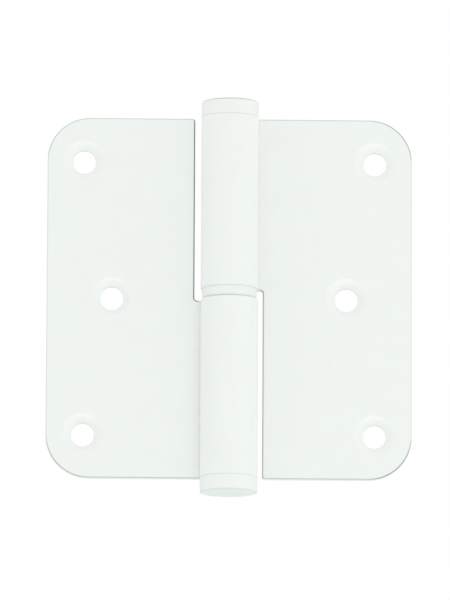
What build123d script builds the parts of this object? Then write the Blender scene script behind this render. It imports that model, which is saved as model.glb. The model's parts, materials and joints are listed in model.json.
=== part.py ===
from build123d import *

import math
import os

# Lift-off door hinge, opened flat. Millimetres, +Z up, origin on the pin's axis at mid height.
# The countersunk faces look towards -Y, with the frame leaf at -X and the door leaf at +X.

# Leaves
leaf_height = 89.0
leaf_reach = 44.5  # pin axis to a leaf's outer edge
sheet = 2.4
leaf_setback = 1.4  # pin axis back to the leaves' front faces
outer_corner_radius = 10.5
inner_corner_radius = 0.7  # of the corner beside the other leaf's knuckle
notch_corner_radius = 0.7  # at the blind end of the notch
edge_chamfer = 0.3  # along the sheet's edges, broken by tumbling

# Knuckles
knuckle_diameter = 14.0
crank_radius = 5.4  # of the front face, where the sheet bends back into the knuckle
seam_gap = 0.12  # between the roll's free end and the leaf it closes on
lip_round = 0.6  # along the free end's outer edge
frame_notch_gap = 1.5  # frame leaf to the door leaf's knuckle
door_notch_gap = 1.2  # door leaf to the frame leaf's knuckle

# Bearing ring
ring_height = 2.65
ring_seat_drop = 0.65  # frame knuckle's upper end below mid height
ring_inset = 0.35  # ring's outer edge inside the knuckles'
ring_edge_chamfer = 0.25
ring_bore_clearance = 0.15  # all round the pin

# Screw holes, countersunk from the front
hole_diameter = 5.6
countersink_diameter = 9.4
countersink_angle = 90.0
countersink_rim_chamfer = 0.25
outer_hole_side_inset = 9.0
outer_hole_end_inset = 10.75
middle_hole_side_inset = 15.9

# Pin
running_clearance = 0.05  # all round, in the door knuckle
press_clearance = 0.01  # all round, left in the solids of a press fit
pin_rise = 32.0  # above the ring
pin_shank_drop = 1.5  # pressed shank ends this far below the ring
pin_tip_length = 2.5
pin_tip_inset = 0.9
pin_tip_chamfer = 0.6
pin_foot_chamfer = 0.5

# End caps
cap_height = 3.7
cap_rim_chamfer = 0.45
cap_seam_chamfer = 0.2
spigot_length = 6.0
spigot_chamfer = 0.6

knuckle_radius = knuckle_diameter / 2
bore_radius = knuckle_radius - sheet
press_radius = bore_radius - press_clearance
pin_radius = bore_radius - running_clearance
half_height = leaf_height / 2
leaf_back = leaf_setback + sheet
frame_knuckle_top = -ring_seat_drop
door_knuckle_bottom = frame_knuckle_top + ring_height


def polar(radius, angle):
    return (radius * math.cos(math.radians(angle)), radius * math.sin(math.radians(angle)))


def nearest_vertex(sketch, point):
    return sketch.vertices().sort_by_distance(point)[0]


def rolled_section():
    """The sheet seen along the pin: flat leaf, bend back, roll round the axis, free end on the leaf's face."""
    centre_distance = bore_radius + crank_radius
    bend_height = leaf_setback + crank_radius
    crank_angle = math.degrees(math.acos(bend_height / centre_distance))
    bend_x = centre_distance * math.sin(math.radians(crank_angle))
    bend_centre = (bend_x, bend_height)
    bend_end = 270 - crank_angle

    # The free end's outer corner stops a seam's width before the bend's front face.
    lip_distance = crank_radius + seam_gap
    sides = centre_distance**2 + knuckle_radius**2 - lip_distance**2
    roll_start = 90 - crank_angle
    roll_end = roll_start - math.degrees(math.acos(sides / (2 * centre_distance * knuckle_radius)))
    roll_sweep = 360 + roll_end - roll_start
    lip = polar(knuckle_radius, roll_end)

    with BuildSketch() as section:
        with BuildLine():
            Line((leaf_reach, leaf_setback), (bend_x, leaf_setback))
            CenterArc(bend_centre, crank_radius, 270, -crank_angle)
            CenterArc((0, 0), bore_radius, roll_start, roll_sweep)
            Line(polar(bore_radius, roll_end), lip)
            CenterArc((0, 0), knuckle_radius, roll_end, -roll_sweep)
            CenterArc(bend_centre, crank_radius - sheet, bend_end, crank_angle)
            Line((bend_x, leaf_back), (leaf_reach, leaf_back))
            Line((leaf_reach, leaf_back), (leaf_reach, leaf_setback))
        make_face()
        fillet(nearest_vertex(section, lip), lip_round)
    return section.sketch


def blank_outline(knuckle_end, notch_x):
    """The leaf seen from the front, with a notch below its knuckle for the other leaf's knuckle."""
    past_knuckle = -2 * knuckle_radius
    outer_corners = [(leaf_reach, -half_height), (leaf_reach, half_height)]
    inner_corner = (notch_x, -half_height)
    notch_corner = (notch_x, knuckle_end)
    with BuildSketch() as outline:
        with BuildLine():
            Polyline(
                (past_knuckle, knuckle_end),
                notch_corner,
                inner_corner,
                *outer_corners,
                (past_knuckle, half_height),
                close=True,
            )
        make_face()
        fillet([nearest_vertex(outline, corner) for corner in outer_corners], outer_corner_radius)
        fillet(nearest_vertex(outline, inner_corner), inner_corner_radius)
        fillet(nearest_vertex(outline, notch_corner), notch_corner_radius)
    return Plane.XZ * outline.sketch


def runs_along(edge, direction):
    return edge.geom_type == GeomType.LINE and abs(edge.tangent_at(0.5).dot(direction)) > 0.999


def rim_edges(leaf, notch_x):
    """The sheet's edges all round its outline: not the lines across its thickness or along the roll."""
    across = Vector(0, 1, 0)
    along_pin = Vector(0, 0, 1)
    roll_side = notch_x - notch_corner_radius
    in_outline = [edge for edge in leaf.edges() if not runs_along(edge, across)]
    return [edge for edge in in_outline if not (runs_along(edge, along_pin) and edge.center().X < roll_side)]


def screw_hole():
    """The space of one countersunk hole, about the Y axis."""
    hole_radius = hole_diameter / 2
    sink_radius = countersink_diameter / 2
    sink_depth = (sink_radius - hole_radius) / math.tan(math.radians(countersink_angle / 2))
    throat = leaf_setback + sink_depth
    past_front = leaf_setback - sheet
    past_back = leaf_back + sheet
    with BuildSketch() as half:
        with BuildLine():
            Polyline(
                (0, past_front),
                (sink_radius, past_front),
                (sink_radius, leaf_setback),
                (hole_radius, throat),
                (hole_radius, past_back),
                (0, past_back),
                close=True,
            )
        make_face()
    return revolve(half.sketch, Axis.Y)


def hinge_leaf(knuckle_end, notch_gap):
    """A leaf that reaches towards +X, with its knuckle from knuckle_end up to the top edge."""
    notch_x = knuckle_radius + notch_gap
    rolled = extrude(rolled_section(), half_height, both=True)
    blank = extrude(blank_outline(knuckle_end, notch_x), 2 * knuckle_radius, both=True)
    leaf = rolled & blank
    leaf = chamfer(rim_edges(leaf, notch_x), edge_chamfer)

    outer_x = leaf_reach - outer_hole_side_inset
    outer_z = half_height - outer_hole_end_inset
    middle_x = leaf_reach - middle_hole_side_inset
    hole = screw_hole()
    for x, z in [(outer_x, outer_z), (outer_x, -outer_z), (middle_x, 0)]:
        leaf -= Pos(x, 0, z) * hole
    front_circles = leaf.edges().filter_by(GeomType.CIRCLE).filter_by_position(
        Axis.Y, leaf_setback, leaf_setback
    )
    rims = [edge for edge in front_circles if edge.is_closed]
    return chamfer(rims, countersink_rim_chamfer)


def turned(outline, chamfers):
    """A solid turned about the pin's axis, from an outline of radius and height pairs."""
    with BuildSketch() as half:
        with BuildLine():
            Polyline(*outline, close=True)
        make_face()
        for corner, size in chamfers:
            chamfer(nearest_vertex(half, corner), size)
    return revolve(Plane.XZ * half.sketch, Axis.Z)


def end_cap():
    """The plug of an upper knuckle end: a head as wide as the knuckle, on a spigot pressed into its bore."""
    head_top = half_height + cap_height
    spigot_end = half_height - spigot_length
    head_rim = (knuckle_radius, head_top)
    head_seam = (knuckle_radius, half_height)
    spigot_tip = (press_radius, spigot_end)
    outline = [(0, spigot_end), spigot_tip, (press_radius, half_height), head_seam, head_rim, (0, head_top)]
    chamfers = [(head_rim, cap_rim_chamfer), (head_seam, cap_seam_chamfer), (spigot_tip, spigot_chamfer)]
    return turned(outline, chamfers)


def pin():
    """Shank pressed into the frame knuckle down to the bottom cap, running part above, tapered tip."""
    foot = -half_height + spigot_length
    shank_end = frame_knuckle_top - pin_shank_drop
    tip = door_knuckle_bottom + pin_rise
    foot_corner = (press_radius, foot)
    tip_corner = (pin_radius - pin_tip_inset, tip)
    outline = [
        (0, foot),
        foot_corner,
        (press_radius, shank_end),
        (pin_radius, shank_end),
        (pin_radius, tip - pin_tip_length),
        tip_corner,
        (0, tip),
    ]
    return turned(outline, [(foot_corner, pin_foot_chamfer), (tip_corner, pin_tip_chamfer)])


def bearing_ring():
    """Plain ring round the pin that carries the door knuckle on the frame knuckle."""
    inner = pin_radius + ring_bore_clearance
    outer = knuckle_radius - ring_inset
    lower_rim = (outer, frame_knuckle_top)
    upper_rim = (outer, door_knuckle_bottom)
    outline = [(inner, frame_knuckle_top), lower_rim, upper_rim, (inner, door_knuckle_bottom)]
    return turned(outline, [(lower_rim, ring_edge_chamfer), (upper_rim, ring_edge_chamfer)])


upside_down = Rot(0, 180, 0)
parts = {
    "frame_leaf": upside_down * hinge_leaf(-frame_knuckle_top, frame_notch_gap),
    "door_leaf": hinge_leaf(door_knuckle_bottom, door_notch_gap),
    "hinge_pin": pin(),
    "bearing_ring": bearing_ring(),
    "top_cap": end_cap(),
    "bottom_cap": upside_down * end_cap(),
}

os.makedirs("parts", exist_ok=True)
for node, solid in parts.items():
    export_step(solid, f"parts/{node}.step")
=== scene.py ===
import json
import math

import bmesh
import bpy
from mathutils import Matrix, Vector


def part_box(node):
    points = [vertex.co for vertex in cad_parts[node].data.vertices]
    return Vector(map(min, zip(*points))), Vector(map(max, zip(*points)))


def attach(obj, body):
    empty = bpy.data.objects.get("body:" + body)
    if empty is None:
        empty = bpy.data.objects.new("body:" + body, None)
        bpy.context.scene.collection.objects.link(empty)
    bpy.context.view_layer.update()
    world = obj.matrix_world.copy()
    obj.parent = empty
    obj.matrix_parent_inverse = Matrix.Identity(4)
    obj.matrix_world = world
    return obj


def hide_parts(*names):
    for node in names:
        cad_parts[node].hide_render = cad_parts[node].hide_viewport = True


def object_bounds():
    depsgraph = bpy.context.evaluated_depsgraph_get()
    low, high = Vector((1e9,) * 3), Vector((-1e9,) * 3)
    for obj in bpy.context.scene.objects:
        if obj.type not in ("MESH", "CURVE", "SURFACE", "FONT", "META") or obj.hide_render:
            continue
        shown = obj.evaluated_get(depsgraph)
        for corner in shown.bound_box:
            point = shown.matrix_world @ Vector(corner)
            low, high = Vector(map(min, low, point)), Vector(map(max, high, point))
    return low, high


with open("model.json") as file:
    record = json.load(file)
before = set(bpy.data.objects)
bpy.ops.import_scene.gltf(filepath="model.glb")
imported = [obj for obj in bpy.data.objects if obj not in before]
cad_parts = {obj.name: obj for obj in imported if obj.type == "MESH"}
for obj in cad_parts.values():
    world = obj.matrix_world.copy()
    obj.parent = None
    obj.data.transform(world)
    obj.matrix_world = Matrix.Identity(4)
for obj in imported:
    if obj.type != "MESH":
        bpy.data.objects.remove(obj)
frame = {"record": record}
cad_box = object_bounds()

# The two leaves are blanked from steel sheet, countersunk and rolled: the sheet bends back, turns once round
# the pin and closes on its own front face. The white powder coat is baked on afterwards. Its colour also
# carries painted light and shade: whiter beside each knuckle and in the countersinks, most under their upper
# rims, as painted light, and darker over the edges, where the coat is thin and painted shade draws dark
# lines.
MM = 0.001
mounts = {mount["name"]: mount for mount in frame["record"]["mounts"]}
leaf_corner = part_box("door_leaf")[1]
leaf_reach = leaf_corner.x
half_height = leaf_corner.z
sheet = 2.4 * MM
leaf_front = mounts["door_leaf_back"]["pos_m"][1] - sheet
outer_corner = 10.5 * MM
small_corner = 0.7 * MM
corner_steps = 14
edge_round = 0.32 * MM
support = 0.15 * MM  # flat band beside each round, which keeps the faces' shading flat
round_steps = 5

knuckle_radius = 7.0 * MM
bore_radius = knuckle_radius - sheet
crank_radius = 5.4 * MM
seam_gap = 0.12 * MM
lip_corner = 0.65 * MM
end_round_share = 0.2  # of the edges' round, across the knuckles' ends
end_round_ramp = 1.5 * MM
frame_notch_gap = 1.5 * MM
door_notch_gap = 1.2 * MM
frame_knuckle_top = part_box("bearing_ring")[0].z
door_knuckle_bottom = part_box("bearing_ring")[1].z

bend_height = leaf_front + crank_radius
centre_distance = bore_radius + crank_radius
crank_angle = math.acos(bend_height / centre_distance)
bend_line = centre_distance * math.sin(crank_angle)
bend_length = crank_angle * (crank_radius - sheet / 2)
lip_sides = centre_distance**2 + knuckle_radius**2 - (crank_radius + seam_gap) ** 2
lip_angle = math.acos(lip_sides / (2 * centre_distance * knuckle_radius))
roll_start = math.pi / 2 - crank_angle
roll_length = (2 * math.pi - lip_angle) * (bore_radius + sheet / 2)
free_end = bend_line - bend_length - roll_length
roll_steps = 120

hole_radius = mounts["door_leaf_middle_screw"]["dims"]["r_mm"] * MM
sink_radius = 4.7 * MM
sink_slope = math.radians(45)
sink_rim_round = 1.7 * MM
hole_edge_round = 0.2 * MM
hole_steps = 72
hole_angles = [2 * math.pi * i / hole_steps for i in range(hole_steps)]
sew_distance = 0.01 * MM  # closer points than this become one

coat_colour = (0.851, 0.876, 0.849, 1)
coat_cool = (0.845, 0.868, 0.853, 1)
# Dark grey-green of a thin coat at the edges, also laid on as painted shade in the notches and along the
# rims
thin_coat_and_painted_shading = (0.170, 0.270, 0.215, 1)
# A whiter coat, laid on as painted light: highlights under the countersinks' upper rims and a lift in the
# creases
thick_coat_and_painted_light = (0.932, 0.926, 0.917, 1)
end_shade = 0.5  # how far the thin coat and painted shade show along an edge; below 0 the coat is whitened as painted light
side_shade = 0.24
knuckle_end_shade = 0.08
# The notch edges' dark lines are painted shade for the gap beside each knuckle; the rest is thin coat and
# painted shade
frame_edge_shade = {"notch": 6.0, "corners": 0.64}
door_edge_shade = {"notch": 0.8, "corners": 1.0}
back_edge_share = 0.05  # of the front edge's thin coat and painted shade
# Painted light in the countersinks, most under the upper rim, and painted shade at the hole's edge
sink_upper_highlight = -0.9
sink_lower_light = -0.35
sink_peak_share = 2 / 3  # how far round a rim its upper side's painted highlight is brightest
hole_edge_shade = 0.4
# A painted lift of light along the creases beside the knuckles, where shade falls
crease_line = 6.9 * MM  # from the pin's axis
crease_reach = 1.5 * MM
crease_lightening = 0.55
coat_ior = 1.45
coat_specular = 0.25
coat_roughness = (0.42, 0.52)
cloud_scale = 220
cloud_detail = 2
cloud_limits = (0.35, 0.65)  # of the noise, from one tint to the other
peel_scale = 900
peel_detail = 3
peel_coarseness = 0.45
peel_limits = (0.3, 0.7)
peel_strength = 0.25
peel_depth = 0.02 * MM


def arc_steps(count):
    """Quarter-circle angles from 0 to 90 degrees."""
    return [math.pi / 2 * i / count for i in range(count + 1)]


def corner_arc(corner, before, after, radius, inset):
    """Points round a square corner of an outline moved in by inset, walked with the sheet on the left."""
    inward_before = Vector((-before.y, before.x))
    inward_after = Vector((-after.y, after.x))
    turn = before.cross(after)
    centre = corner + turn * radius * (inward_before + inward_after)
    reach = turn * radius - inset
    return [
        centre - reach * (inward_before * math.cos(angle) + inward_after * math.sin(angle))
        for angle in arc_steps(corner_steps)
    ]


def end_share(u):
    """The share of the edges' round on the strip's sides: all of it beside the plate and the free end."""
    from_ends = min(bend_line - u, u - free_end - lip_corner)
    return max(end_round_share, 1 - (1 - end_round_share) * from_ends / end_round_ramp)


def blank_outline(knuckle_end, notch, inset):
    """The flat blank's outline, moved in by inset: strip's lower side, plate, strip's upper side."""
    right, left, up, down = Vector((1, 0)), Vector((-1, 0)), Vector((0, 1)), Vector((0, -1))
    strip_start = free_end + lip_corner
    columns = [strip_start + (bend_line - strip_start) * (i + 1) / roll_steps for i in range(roll_steps)]
    low_side = corner_arc(Vector((free_end, knuckle_end)), down, right, lip_corner, inset)
    low_side += [Vector((u, knuckle_end + inset * end_share(u))) for u in columns]
    plate = corner_arc(Vector((notch, knuckle_end)), right, down, small_corner, inset)
    plate += corner_arc(Vector((notch, -half_height)), down, right, small_corner, inset)
    plate += corner_arc(Vector((leaf_reach, -half_height)), right, up, outer_corner, inset)
    plate += corner_arc(Vector((leaf_reach, half_height)), up, left, outer_corner, inset)
    high_side = [Vector((u, half_height - inset * end_share(u))) for u in reversed(columns)]
    high_side += corner_arc(Vector((free_end, half_height)), left, down, lip_corner, inset)
    return low_side, plate, high_side


def edge_profile():
    """Inset, depth and amount of thin coat and painted shade of the loops from the front face, round the
    edge, to the back face.
    """
    front = [(edge_round + support, 0, 0)]
    for angle in arc_steps(round_steps):
        inset = edge_round * (1 - math.sin(angle))
        front.append((inset, edge_round * (1 - math.cos(angle)), math.sin(2 * angle)))
    back = [(inset, sheet - depth, coat_shading * back_edge_share) for inset, depth, coat_shading in reversed(front)]
    return front + back


def edge_shade_amount(point, notch, own):
    """Thin coat and painted shade along the edges: deep painted shade in the notch beside the knuckle,
    little on the knuckles and more round the corners.
    """
    if point.x <= bend_line:
        towards_plate = max(1 - (bend_line - point.x) / end_round_ramp, 0)
        return knuckle_end_shade + (end_shade - knuckle_end_shade) * towards_plate
    from_end = half_height - abs(point.y)
    past_corner = point.x - leaf_reach + outer_corner
    if past_corner > 0:
        towards_end = math.atan2(max(outer_corner - from_end, 0), past_corner) * 2 / math.pi
        in_corner = math.sqrt(max(math.sin(math.pi * towards_end), 0))
        straight = side_shade + (end_shade - side_shade) * towards_end
        return straight + (own["corners"] - straight) * in_corner
    if point.x > notch + small_corner - edge_round:
        return end_shade
    return end_shade + (own["notch"] - end_shade) * min(from_end / small_corner, 1)


def sink_profile():
    """Radius, depth and upper and lower painted light and shade of the loops down a countersink, front to
    back: below 0 a painted highlight whitens the coat, above 0 painted shade darkens it at the hole's edge.
    """
    rim = sink_radius + sink_rim_round * math.tan(sink_slope / 2)
    loops = [(rim + support, 0, 0, 0)]
    for i in range(round_steps + 1):
        share = i / round_steps
        angle = sink_slope * share
        radius = rim - sink_rim_round * math.sin(angle)
        upper = sink_upper_highlight * math.sin(math.pi / 2 * share / sink_peak_share)
        lower = sink_lower_light * share
        loops.append((radius, sink_rim_round * (1 - math.cos(angle)), upper, lower))
    throat = (sink_radius - hole_radius) / math.tan(sink_slope)
    cone_end = throat - hole_edge_round / math.tan(sink_slope)
    loops.append((hole_radius + hole_edge_round, cone_end, 0, sink_lower_light))
    loops.append((hole_radius + hole_edge_round / 4, throat, hole_edge_shade / 2, sink_lower_light / 2))
    loops.append((hole_radius, throat + hole_edge_round, hole_edge_shade, 0))
    for angle in reversed(arc_steps(round_steps)):
        radius = hole_radius + hole_edge_round * (1 - math.sin(angle))
        loops.append((radius, sheet - hole_edge_round * (1 - math.cos(angle)), hole_edge_shade, 0))
    loops.append((hole_radius + hole_edge_round + support, sheet, 0, 0))
    return loops


def ring_points(radius, centre_u, centre_z, depth):
    """One loop of vertex places round a hole."""
    return [
        (centre_u + radius * math.cos(angle), depth, centre_z + radius * math.sin(angle))
        for angle in hole_angles
    ]


def add_loop(mesh, shading_layer, points, coat_shadings):
    """New vertices at these places, each with its amount of thin coat and painted light and shade."""
    loop = [mesh.verts.new(point) for point in points]
    for vertex, coat_shading in zip(loop, coat_shadings):
        vertex[shading_layer] = coat_shading
    return loop


def bridge(mesh, first, second):
    """Quads between two closed loops of the same length."""
    for i in range(len(first)):
        j = (i + 1) % len(first)
        mesh.faces.new((first[i], second[i], second[j], first[j]))


def fill_plate(mesh, boundary, hole_loops, facing):
    """Fill the flat part of a face between its boundary and the holes' loops, turned to face along Y."""
    edges = []
    for loop in [boundary] + hole_loops:
        for i in range(len(loop)):
            pair = (loop[i - 1], loop[i])
            edges.append(mesh.edges.get(pair) or mesh.edges.new(pair))
    filled = bmesh.ops.triangle_fill(mesh, edges=edges, use_beauty=True, normal=Vector((0, facing, 0)))
    for face in filled["geom"]:
        if isinstance(face, bmesh.types.BMFace):
            face.normal_update()
            if face.normal.y * facing < 0:
                face.normal_flip()


def finished_mesh(mesh, name):
    """A smooth-shaded object from a bmesh."""
    for face in mesh.faces:
        face.smooth = True
    data = bpy.data.meshes.new(name)
    mesh.to_mesh(data)
    mesh.free()
    piece = bpy.data.objects.new(name, data)
    bpy.context.scene.collection.objects.link(piece)
    return piece


def leaf_blank(name, knuckle_end, notch, shade_amount, holes):
    """The flat blank, front face at depth 0, with one loose point at each hole's centre."""
    mesh = bmesh.new()
    shading_layer = mesh.verts.layers.float.new("thin_coat_and_painted_shading")
    hole_layer = mesh.verts.layers.bool.new("hole_centre")
    loops = []
    for inset, depth, coat_shading in edge_profile():
        low_side, plate, high_side = blank_outline(knuckle_end, notch, inset)
        outline = low_side + plate + high_side
        points = [(point.x, depth, point.y) for point in outline]
        coat_shadings = [coat_shading * edge_shade_amount(point, notch, shade_amount) for point in outline]
        loops.append(add_loop(mesh, shading_layer, points, coat_shadings))
    for first, second in zip(loops, loops[1:]):
        bridge(mesh, first, second)
    rims = [loop[:2] for loop in sink_profile()]
    even = [0] * hole_steps
    strip = len(low_side)
    for loop, (radius, depth), facing in [(loops[0], rims[0], -1), (loops[-1], rims[-1], 1)]:
        low, high = loop[:strip], loop[-strip:][::-1]
        for i in range(strip - 1):
            quad = (low[i], low[i + 1], high[i + 1], high[i])
            mesh.faces.new(quad if facing < 0 else quad[::-1])
        hole_loops = [
            add_loop(mesh, shading_layer, ring_points(radius, u, z, depth), even) for u, z in holes
        ]
        fill_plate(mesh, loop[strip - 1 : len(loop) - strip + 1], hole_loops, facing)
    for u, z in holes:
        mesh.verts.new((u, 0, z))[hole_layer] = True
    return finished_mesh(mesh, name)


def countersink_dish(name, up):
    """The wall of one countersunk hole, about the Y axis, with a painted highlight on the side that is up,
    where the low lamp lights it.
    """
    mesh = bmesh.new()
    shading_layer = mesh.verts.layers.float.new("thin_coat_and_painted_shading")
    shares = [max(up * math.sin(angle), 0) ** 2 for angle in hole_angles]
    loops = []
    for radius, depth, upper, lower in sink_profile():
        coat_shadings = [lower + (upper - lower) * share for share in shares]
        loops.append(add_loop(mesh, shading_layer, ring_points(radius, 0, 0, depth), coat_shadings))
    for first, second in zip(loops, loops[1:]):
        bridge(mesh, second, first)
    return finished_mesh(mesh, name)


def add_node(tree, kind, inputs=None, **settings):
    """A node with its settings; inputs maps a socket's name or number to a value or another's socket."""
    node = tree.nodes.new(kind)
    for name, value in settings.items():
        setattr(node, name, value)
    for key, value in (inputs or {}).items():
        if isinstance(value, bpy.types.NodeSocket):
            tree.links.new(value, node.inputs[key])
        else:
            node.inputs[key].default_value = value
    return node


def calculated(tree, operation, *terms):
    """The result of one Math node."""
    return add_node(tree, "ShaderNodeMath", dict(enumerate(terms)), operation=operation).outputs[0]


def rolling_tree():
    """Geometry Nodes that roll a flat blank into a leaf and set a countersink in each hole."""
    tree = bpy.data.node_groups.new("roll_leaf", "GeometryNodeTree")
    sockets = [("Blank", "Geometry"), ("Countersink", "Object"), ("Turn", "Float"), ("Coat", "Material")]
    sizes = ["Leaf Front", "Bend Line", "Bend Length", "Crank Radius", "Bore Radius", "Sheet", "Roll Start"]
    for name, kind in sockets + [(name, "Float") for name in sizes]:
        tree.interface.new_socket(name, in_out="INPUT", socket_type="NodeSocket" + kind)
    tree.interface.new_socket("Leaf", in_out="OUTPUT", socket_type="NodeSocketGeometry")
    given = tree.nodes.new("NodeGroupInput").outputs
    place = add_node(tree, "GeometryNodeInputPosition").outputs[0]
    along, depth, height = add_node(tree, "ShaderNodeSeparateXYZ", {0: place}).outputs

    # How far the point lies past the bend line, measured along the middle of the sheet.
    half_sheet = calculated(tree, "MULTIPLY", given["Sheet"], 0.5)
    past = calculated(tree, "MAXIMUM", calculated(tree, "SUBTRACT", given["Bend Line"], along), 0.0)
    in_bend = calculated(tree, "MINIMUM", past, given["Bend Length"])
    in_roll = calculated(tree, "SUBTRACT", past, given["Bend Length"])

    # The flat leaf and the bend, which turns about a centre behind the leaf.
    bend_radius = calculated(tree, "SUBTRACT", given["Crank Radius"], half_sheet)
    bend_turn = calculated(tree, "DIVIDE", in_bend, bend_radius)
    arm = calculated(tree, "SUBTRACT", given["Crank Radius"], depth)
    swung = calculated(tree, "MULTIPLY", arm, calculated(tree, "SINE", bend_turn))
    flat_x = calculated(tree, "MAXIMUM", along, given["Bend Line"])
    bent_x = calculated(tree, "SUBTRACT", flat_x, swung)
    centre_y = calculated(tree, "ADD", given["Leaf Front"], given["Crank Radius"])
    raised = calculated(tree, "MULTIPLY", arm, calculated(tree, "COSINE", bend_turn))
    bent_y = calculated(tree, "SUBTRACT", centre_y, raised)
    bent = add_node(tree, "ShaderNodeCombineXYZ", {0: bent_x, 1: bent_y, 2: height})

    # The roll round the pin's axis.
    roll_radius = calculated(tree, "ADD", given["Bore Radius"], half_sheet)
    turned_by = calculated(tree, "DIVIDE", in_roll, roll_radius)
    roll_turn = calculated(tree, "ADD", given["Roll Start"], turned_by)
    radius = calculated(tree, "ADD", given["Bore Radius"], depth)
    rolled_x = calculated(tree, "MULTIPLY", radius, calculated(tree, "COSINE", roll_turn))
    rolled_y = calculated(tree, "MULTIPLY", radius, calculated(tree, "SINE", roll_turn))
    rolled = add_node(tree, "ShaderNodeCombineXYZ", {0: rolled_x, 1: rolled_y, 2: height})
    is_rolled = calculated(tree, "GREATER_THAN", in_roll, 0.0)
    chosen = {"Switch": is_rolled, "False": bent.outputs[0], "True": rolled.outputs[0]}
    path = add_node(tree, "GeometryNodeSwitch", chosen, input_type="VECTOR")

    # The shaped sheet, with a countersink at each loose point, turned to its own side of the pin.
    moved = {"Geometry": given["Blank"], "Position": path.outputs[0]}
    shaped = add_node(tree, "GeometryNodeSetPosition", moved)
    hole_mark = {"Name": "hole_centre"}
    is_hole = add_node(tree, "GeometryNodeInputNamedAttribute", hole_mark, data_type="BOOLEAN")
    split = {"Geometry": shaped.outputs[0], "Selection": is_hole.outputs["Attribute"]}
    parted = add_node(tree, "GeometryNodeSeparateGeometry", split, domain="POINT")
    dish = add_node(tree, "GeometryNodeObjectInfo", {"Object": given["Countersink"]})
    seats = {"Points": parted.outputs["Selection"], "Instance": dish.outputs["Geometry"]}
    dishes = add_node(tree, "GeometryNodeInstanceOnPoints", seats)
    joined = add_node(tree, "GeometryNodeJoinGeometry", {0: dishes.outputs[0]})
    tree.links.new(parted.outputs["Inverted"], joined.inputs[0])
    spin = add_node(tree, "ShaderNodeCombineXYZ", {1: given["Turn"]})
    turned = {"Geometry": joined.outputs[0], "Rotation": spin.outputs[0]}
    placed = add_node(tree, "GeometryNodeTransform", turned)
    real = add_node(tree, "GeometryNodeRealizeInstances", {0: placed.outputs[0]})
    sewn = {"Geometry": real.outputs[0], "Distance": sew_distance}
    whole = add_node(tree, "GeometryNodeMergeByDistance", sewn)
    coated = {"Geometry": whole.outputs[0], "Material": given["Coat"]}
    finish = add_node(tree, "GeometryNodeSetMaterial", coated)
    add_node(tree, "NodeGroupOutput", {0: finish.outputs[0]})
    return tree


def piece_material(name):
    """A new material, its node tree, its shader and the place of a point on the piece."""
    material = bpy.data.materials.new(name)
    material.use_nodes = True
    tree = material.node_tree
    place = add_node(tree, "ShaderNodeTexCoord").outputs["Object"]
    return material, tree, tree.nodes["Principled BSDF"], place


def noise(tree, place, scale, detail, coarseness=0.5):
    """Grey noise that lies still on the piece."""
    grain = {"Vector": place, "Scale": scale, "Detail": detail, "Roughness": coarseness}
    return add_node(tree, "ShaderNodeTexNoise", grain).outputs["Fac"]


def ranged(tree, value, low, high, to_low=0.0, to_high=1.0):
    """A value stretched from one range to another and held at its ends."""
    limits = {0: value, 1: low, 2: high, 3: to_low, 4: to_high}
    return add_node(tree, "ShaderNodeMapRange", limits).outputs[0]


def colour_mix(tree, factor, first, second):
    """A mix of two colours."""
    return add_node(tree, "ShaderNodeMix", {0: factor, 6: first, 7: second}, data_type="RGBA").outputs[2]


def bumped(tree, height, strength, distance):
    """The normal of a finely uneven surface."""
    skin = {"Height": height, "Strength": strength, "Distance": distance}
    return add_node(tree, "ShaderNodeBump", skin).outputs[0]


def powder_coat():
    """White powder coat: cloudy tint and a faint orange-peel skin, darkened at the edges by thin coat and
    painted shade, and whitened by painted light in the countersinks and creases.
    """
    material, tree, shader, place = piece_material("white_powder_coat")
    shader.inputs["IOR"].default_value = coat_ior
    shader.inputs["Specular IOR Level"].default_value = coat_specular
    clouds = ranged(tree, noise(tree, place, cloud_scale, cloud_detail), *cloud_limits)
    cloudy = colour_mix(tree, clouds, coat_colour, coat_cool)
    coat_shading = add_node(tree, "ShaderNodeAttribute", attribute_name="thin_coat_and_painted_shading").outputs["Fac"]
    edged = colour_mix(tree, coat_shading, cloudy, thin_coat_and_painted_shading)

    # Painted light: whiter in the countersinks, by the attribute, and along the creases beside the knuckles,
    # by a point's place in front.
    spot = add_node(tree, "ShaderNodeSeparateXYZ", {0: place}).outputs
    from_axis = calculated(tree, "ABSOLUTE", spot["X"])
    from_crease = calculated(tree, "ABSOLUTE", calculated(tree, "SUBTRACT", from_axis, crease_line))
    beside = ranged(tree, from_crease, crease_reach, 0.0, 0.0, crease_lightening)
    in_front = calculated(tree, "LESS_THAN", spot["Y"], leaf_front + sheet / 2)
    between_caps = calculated(tree, "LESS_THAN", calculated(tree, "ABSOLUTE", spot["Z"]), half_height)
    in_crease = calculated(tree, "MULTIPLY", in_front, between_caps)
    crease_light = calculated(tree, "MULTIPLY", beside, in_crease)
    thick_and_lit = calculated(tree, "MAXIMUM", crease_light, calculated(tree, "MULTIPLY", coat_shading, -1.0))
    colour = colour_mix(tree, thick_and_lit, edged, thick_coat_and_painted_light)
    tree.links.new(colour, shader.inputs["Base Color"])

    peel = noise(tree, place, peel_scale, peel_detail, peel_coarseness)
    tree.links.new(bumped(tree, peel, peel_strength, peel_depth), shader.inputs["Normal"])
    tree.links.new(ranged(tree, peel, *peel_limits, *coat_roughness), shader.inputs["Roughness"])
    return material


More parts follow.
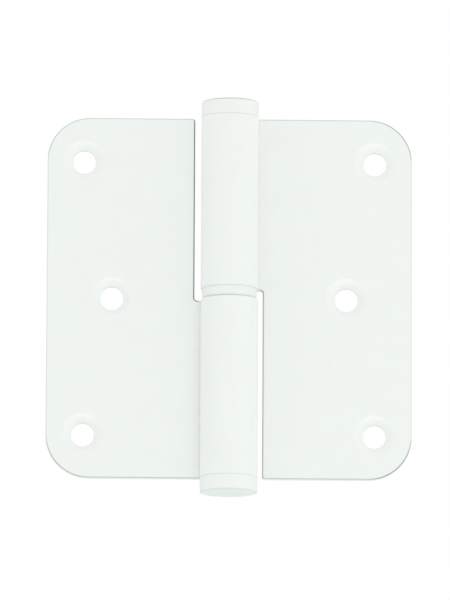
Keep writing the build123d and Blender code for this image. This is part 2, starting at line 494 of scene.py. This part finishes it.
def rolled_leaf(name, blank, dish, turn, tree, material):
    """The blank rolled by the node tree and turned about Y, as a plain mesh."""
    modifier = blank.modifiers.new("roll", "NODES")
    modifier.node_group = tree
    values = {
        "Countersink": dish,
        "Turn": turn,
        "Coat": material,
        "Leaf Front": leaf_front,
        "Bend Line": bend_line,
        "Bend Length": bend_length,
        "Crank Radius": crank_radius,
        "Bore Radius": bore_radius,
        "Sheet": sheet,
        "Roll Start": roll_start,
    }
    for socket in tree.interface.items_tree:
        if socket.name in values:
            modifier[socket.identifier] = values[socket.name]
    evaluated = blank.evaluated_get(bpy.context.evaluated_depsgraph_get())
    data = bpy.data.meshes.new_from_object(evaluated)
    blank.modifiers.remove(modifier)
    bpy.data.objects.remove(blank)
    bpy.data.objects.remove(dish)
    data.name = name
    data.polygons.foreach_set("use_smooth", [True] * len(data.polygons))
    piece = bpy.data.objects.new(name, data)
    bpy.context.scene.collection.objects.link(piece)
    return piece


def screw_places(leaf):
    """The screw holes of one leaf as distance from the pin's axis and height above mid height."""
    outer = mounts[leaf + "_outer_screws"]
    reach = abs(outer["pos_m"][0])
    rise = outer["dims"]["spacing_y_mm"] / 2 * MM
    return [(reach, rise), (reach, -rise), (abs(mounts[leaf + "_middle_screw"]["pos_m"][0]), 0)]


white_coat = powder_coat()
roll_nodes = rolling_tree()
upside_down = math.pi
leaves = [
    ("frame_leaf", "frame_side", -frame_knuckle_top, frame_notch_gap, frame_edge_shade, upside_down),
    ("door_leaf", "door_side", door_knuckle_bottom, door_notch_gap, door_edge_shade, 0.0),
]
for node, body, knuckle_end, notch_gap, shade_amount, turn in leaves:
    notch = knuckle_radius + notch_gap
    blank = leaf_blank(node + "_blank", knuckle_end, notch, shade_amount, screw_places(node))
    dish = countersink_dish(node + "_countersink", math.cos(turn))
    leaf = rolled_leaf(node + "_coated", blank, dish, turn, roll_nodes, white_coat)
    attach(leaf, body)
    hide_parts(node)

# The pin is bright drawn steel, pressed into the frame leaf's knuckle and standing up into the door leaf's.
# Its upper part is ground to run freely, and the tip tapers so that the door can be hung on it.
pin_low, pin_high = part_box("hinge_pin")
press_clearance = 0.01 * MM
running_clearance = 0.05 * MM
press_radius = bore_radius - press_clearance
pin_radius = bore_radius - running_clearance
pin_shank_drop = 1.5 * MM
pin_shank_end = frame_knuckle_top - pin_shank_drop
pin_tip_length = 2.5 * MM
pin_tip_inset = 0.9 * MM
pin_foot_round = 0.5 * MM
pin_taper_round = 0.6 * MM
pin_tip_round = 0.9 * MM
turned_steps = 128
steel_bright = (0.66, 0.66, 0.65, 1)
steel_streak = (0.50, 0.50, 0.49, 1)
steel_roughness = (0.22, 0.36)
streak_stretch = (1, 1, 0.02)  # of the noise, which draws it out along the pin
streak_scale = 2500
streak_detail = 4
streak_limits = (0.3, 0.7)
streak_strength = 0.15
streak_depth = 0.01 * MM


def rounded_profile(corners):
    """Points of a turned outline and their painted shade, from (radius, height, round, shade) corners.

    A round of 0 stays sharp. The painted shade grows along a round towards the outline's next corner."""
    profile = []
    for i, (radius, height, size, shade_amount) in enumerate(corners):
        corner = Vector((radius, height))
        if size == 0:
            profile.append((corner, shade_amount))
            continue
        towards = [Vector(corners[(i + step) % len(corners)][:2]) - corner for step in (-1, 1)]
        before, after = (side.normalized() for side in towards)
        half = before.angle(after) / 2
        tangent = size / math.tan(half)
        centre = corner + (before + after).normalized() * size / math.sin(half)
        start = (corner + before * tangent - centre).normalized()
        end = (corner + after * tangent - centre).normalized()
        profile.append((corner + before * (tangent + support), 0))
        for step in range(round_steps + 1):
            share = step / round_steps
            profile.append((centre + size * start.slerp(end, share), shade_amount * share))
        profile.append((corner + after * (tangent + support), 0))
    return profile


def turned_piece(name, corners, material, hollow=False):
    """A turned piece, its rims darkened by painted shade towards the front only.

    A solid one's outline starts and ends on the axis, and a hollow one's closes up."""
    mesh = bmesh.new()
    shading_layer = mesh.verts.layers.float.new("thin_coat_and_painted_shading")
    angles = [2 * math.pi * i / turned_steps for i in range(turned_steps)]
    # Painted shade on the rims, strongest at the front and none at the back
    fronts = [(1 - math.sin(angle)) / 2 for angle in angles]  # 1 at the front, 0 at the back
    loops = []
    for (radius, height), coat_shading in rounded_profile(corners):
        places = [(radius * math.cos(angle), radius * math.sin(angle), height) for angle in angles]
        coat_shadings = [coat_shading * front for front in fronts]
        loops.append(add_loop(mesh, shading_layer, places if radius else places[:1], coat_shadings))
    pairs = list(zip(loops, loops[1:]))
    if hollow:
        pairs.append((loops[-1], loops[0]))
    for first, second in pairs:
        for i in range(turned_steps):
            j = (i + 1) % turned_steps
            near = [first[i % len(first)], first[j % len(first)]]
            far = [second[j % len(second)], second[i % len(second)]]
            mesh.faces.new(list(dict.fromkeys(near + far)))
    bmesh.ops.recalc_face_normals(mesh, faces=mesh.faces)
    piece = finished_mesh(mesh, name)
    piece.data.materials.append(material)
    return piece


def drawn_steel():
    """Bright steel with the fine lengthwise streaks that drawing leaves."""
    material, tree, shader, place = piece_material("drawn_steel")
    shader.inputs["Metallic"].default_value = 1.0
    drawn = add_node(tree, "ShaderNodeMapping", {"Vector": place, "Scale": streak_stretch}).outputs[0]
    streaks = noise(tree, drawn, streak_scale, streak_detail)
    tree.links.new(colour_mix(tree, streaks, steel_bright, steel_streak), shader.inputs["Base Color"])
    tree.links.new(ranged(tree, streaks, *streak_limits, *steel_roughness), shader.inputs["Roughness"])
    tree.links.new(bumped(tree, streaks, streak_strength, streak_depth), shader.inputs["Normal"])
    return material


pin_outline = [
    (0, pin_low.z, 0, 0),
    (press_radius, pin_low.z, pin_foot_round, 0),
    (press_radius, pin_shank_end, 0, 0),
    (pin_radius, pin_shank_end, 0, 0),
    (pin_radius, pin_high.z - pin_tip_length, pin_taper_round, 0),
    (pin_radius - pin_tip_inset, pin_high.z, pin_tip_round, 0),
    (0, pin_high.z, 0, 0),
]
pin = turned_piece("pin_drawn", pin_outline, drawn_steel())
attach(pin, "frame_side")
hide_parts("hinge_pin")

# The bearing ring is a plain white nylon washer, moulded, loose on the pin. The door leaf's knuckle turns on
# it, so it stands a little inside the knuckles' outer faces.
ring_low, ring_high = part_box("bearing_ring")
ring_inset = 0.35 * MM
ring_bore_clearance = 0.15 * MM
ring_outer = knuckle_radius - ring_inset
ring_inner = pin_radius + ring_bore_clearance
ring_low_round = 0.9 * MM
ring_high_round = 0.08 * MM
ring_bore_round = 0.2 * MM
nylon_colour = (0.845, 0.876, 0.845, 1)
nylon_dull = (0.825, 0.855, 0.830, 1)
nylon_specular = 0.3
nylon_roughness = (0.5, 0.62)
nylon_cloud_scale = 300
nylon_grain_scale = 4000
nylon_detail = 2
nylon_grain_strength = 0.2
nylon_grain_depth = 0.01 * MM


def moulded_nylon():
    """White nylon, dull, with a slight cloudiness and fine mould texture."""
    material, tree, shader, place = piece_material("white_nylon")
    shader.inputs["Specular IOR Level"].default_value = nylon_specular
    clouds = noise(tree, place, nylon_cloud_scale, nylon_detail)
    tree.links.new(colour_mix(tree, clouds, nylon_colour, nylon_dull), shader.inputs["Base Color"])
    grain = noise(tree, place, nylon_grain_scale, nylon_detail)
    tree.links.new(bumped(tree, grain, nylon_grain_strength, nylon_grain_depth), shader.inputs["Normal"])
    tree.links.new(ranged(tree, grain, 0.0, 1.0, *nylon_roughness), shader.inputs["Roughness"])
    return material


ring_outline = [
    (ring_inner, ring_low.z, ring_bore_round, 0),
    (ring_outer, ring_low.z, ring_low_round, 0),
    (ring_outer, ring_high.z, ring_high_round, 0),
    (ring_inner, ring_high.z, ring_bore_round, 0),
]
ring = turned_piece("ring_moulded", ring_outline, moulded_nylon(), hollow=True)
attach(ring, "ring")
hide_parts("bearing_ring")

# The end caps are turned steel plugs, pressed into the knuckles' outer ends until their heads seat, and
# coated with the leaves. The coat leaves only a hairline where head and knuckle meet. Painted shade darkens
# the front of the rims, most on the top cap's.
cap_rim_round = 0.25 * MM
cap_neck_round = 0.1 * MM
spigot_round = 0.6 * MM
top_seam_round = 0.03 * MM
bottom_seam_round = 0.1 * MM
top_rim_shade = 2.4
bottom_rim_shade = 0.3
caps = [
    ("top_cap", "door_side", 1, top_seam_round, top_rim_shade),
    ("bottom_cap", "frame_side", -1, bottom_seam_round, bottom_rim_shade),
]
for node, body, side, seam_round, rim_shade in caps:
    cap_low, cap_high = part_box(node)
    head_end, spigot_end = (cap_high.z, cap_low.z) if side > 0 else (cap_low.z, cap_high.z)
    head_seat = side * half_height
    cap_outline = [
        (0, spigot_end, 0, 0),
        (press_radius, spigot_end, spigot_round, 0),
        (press_radius, head_seat, cap_neck_round, 0),
        (knuckle_radius, head_seat, seam_round, 0),
        (knuckle_radius, head_end, cap_rim_round, rim_shade),
        (0, head_end, 0, 0),
    ]
    cap = turned_piece(node + "_coated", cap_outline, white_coat)
    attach(cap, body)
    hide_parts(node)

# A pale round floor under the hinge, which fades into the white surround and catches the shadow. It shows
# only from above and takes no part in lighting the hinge.
floor_radius = 0.5
floor_fade_start = 0.15
floor_steps = 96
floor_colour = (0.86, 0.87, 0.87, 1)


def seen_rays(tree):
    """1 for what the camera sees, directly, in a reflection or through glass; 0 for light on a surface."""
    rays = add_node(tree, "ShaderNodeLightPath").outputs
    seen = calculated(tree, "MAXIMUM", rays["Is Camera Ray"], rays["Is Glossy Ray"])
    return calculated(tree, "MAXIMUM", seen, rays["Is Transmission Ray"])


def floor_finish():
    """Matt white seen from above, clear from below and to the light that falls on the hinge."""
    material, tree, shader, place = piece_material("pale_floor")
    tree.nodes.remove(shader)
    spread = add_node(tree, "ShaderNodeVectorMath", {0: place}, operation="LENGTH").outputs["Value"]
    fade = {0: spread, 1: floor_fade_start, 2: floor_radius, 3: 1.0, 4: 0.0}
    solid = add_node(tree, "ShaderNodeMapRange", fade, interpolation_type="SMOOTHSTEP").outputs[0]
    below = add_node(tree, "ShaderNodeNewGeometry").outputs["Backfacing"]
    above = calculated(tree, "SUBTRACT", 1.0, below)
    shown = calculated(tree, "MULTIPLY", calculated(tree, "MULTIPLY", seen_rays(tree), above), solid)
    clear = add_node(tree, "ShaderNodeBsdfTransparent")
    matt = add_node(tree, "ShaderNodeBsdfDiffuse", {"Color": floor_colour})
    mix = add_node(tree, "ShaderNodeMixShader", {0: shown, 1: clear.outputs[0], 2: matt.outputs[0]})
    tree.links.new(mix.outputs[0], tree.nodes["Material Output"].inputs["Surface"])
    return material


floor_mesh = bmesh.new()
bmesh.ops.create_circle(floor_mesh, cap_ends=True, segments=floor_steps, radius=floor_radius)
bmesh.ops.translate(floor_mesh, verts=floor_mesh.verts, vec=(0, 0, cad_box[0][2]))
floor = finished_mesh(floor_mesh, "floor")
floor.data.materials.append(floor_finish())

# White surround: pure white to the camera and in reflections. The light it gives the hinge is even, a little
# green from below, with grey flags at both sides and above, just behind the hinge, which draw its edges.
surround_white = (1.0, 1.0, 1.0, 1)
light_below = (0.900, 0.950, 0.920, 1)
below_full = -0.4  # height of a direction from which the light is all from below
front_level = 0.925
side_level = 1.13
flag_level = 0.55
light_levels = [  # by how far back a direction points: -1 is straight in front, 1 straight behind
    (-0.6, front_level),
    (-0.3, side_level),
    (0.45, side_level),
    (0.6, flag_level),
    (0.75, flag_level),
    (0.9, front_level),
]
world = bpy.data.worlds.new("studio")
bpy.context.scene.world = world
world.use_nodes = True
surround = world.node_tree
heading = add_node(surround, "ShaderNodeTexCoord").outputs["Generated"]
axes = add_node(surround, "ShaderNodeSeparateXYZ", {0: heading}).outputs
flags = add_node(surround, "ShaderNodeValToRGB", {0: ranged(surround, axes["Y"], -1.0, 1.0)})
ramp = flags.color_ramp.elements
for stop, (backward, level) in enumerate(light_levels):
    mark = ramp[stop] if stop < len(ramp) else ramp.new(1.0)
    mark.position = (backward + 1) / 2
    mark.color = (level, level, level, 1)
downward = ranged(surround, axes["Z"], 0.0, below_full)
light = colour_mix(surround, downward, flags.outputs[0], light_below)
shown = colour_mix(surround, seen_rays(surround), light, surround_white)
surround.links.new(shown, surround.nodes["Background"].inputs["Color"])

# One large soft lamp, in front, below and to the right. It lights the countersinks' upper walls and the end
# of the bottom cap, and leaves a slight shade to the left of each knuckle.
lamp_place = Vector((0.42, -0.95, -0.58))
lamp_size = 0.8
lamp_power = 1.6
lamp = bpy.data.lights.new("soft_lamp", "AREA")
lamp.shape = "DISK"
lamp.size = lamp_size
lamp.energy = lamp_power
lamp_holder = bpy.data.objects.new("soft_lamp", lamp)
lamp_aim = (-lamp_place).to_track_quat("-Z", "Y").to_matrix().to_4x4()
lamp_holder.matrix_world = Matrix.Translation(lamp_place) @ lamp_aim
bpy.context.scene.collection.objects.link(lamp_holder)

# The camera stands far off in front of the countersunk faces, about ten degrees below mid height, so that
# the bottom cap's end just shows.
photo_width, photo_height = 450, 600
pixel_size = 0.2435 * MM  # on the hinge
axis_pixel = Vector((229.4, 297.2))  # the pin's axis at mid height
camera_distance = 2.2
camera_elevation = math.radians(-10.2)
camera_azimuth = math.radians(-1.3)
camera_roll = math.radians(0.28)
sensor = 36.0
camera_data = bpy.data.cameras.new("camera")
camera_data.sensor_width = sensor
camera_data.lens = sensor * camera_distance / (photo_height * pixel_size)
camera = bpy.data.objects.new("camera", camera_data)
tilt = Matrix.Rotation(math.pi / 2 - camera_elevation, 4, "X")
camera_aim = Matrix.Rotation(camera_azimuth, 4, "Z") @ tilt @ Matrix.Rotation(camera_roll, 4, "Z")
aside = (photo_width / 2 - axis_pixel.x) * pixel_size
above = (axis_pixel.y - photo_height / 2) * pixel_size
camera.matrix_world = camera_aim @ Matrix.Translation((aside, above, camera_distance))
bpy.context.scene.collection.objects.link(camera)
bpy.context.scene.camera = camera
bpy.context.scene.view_settings.view_transform = "Standard"
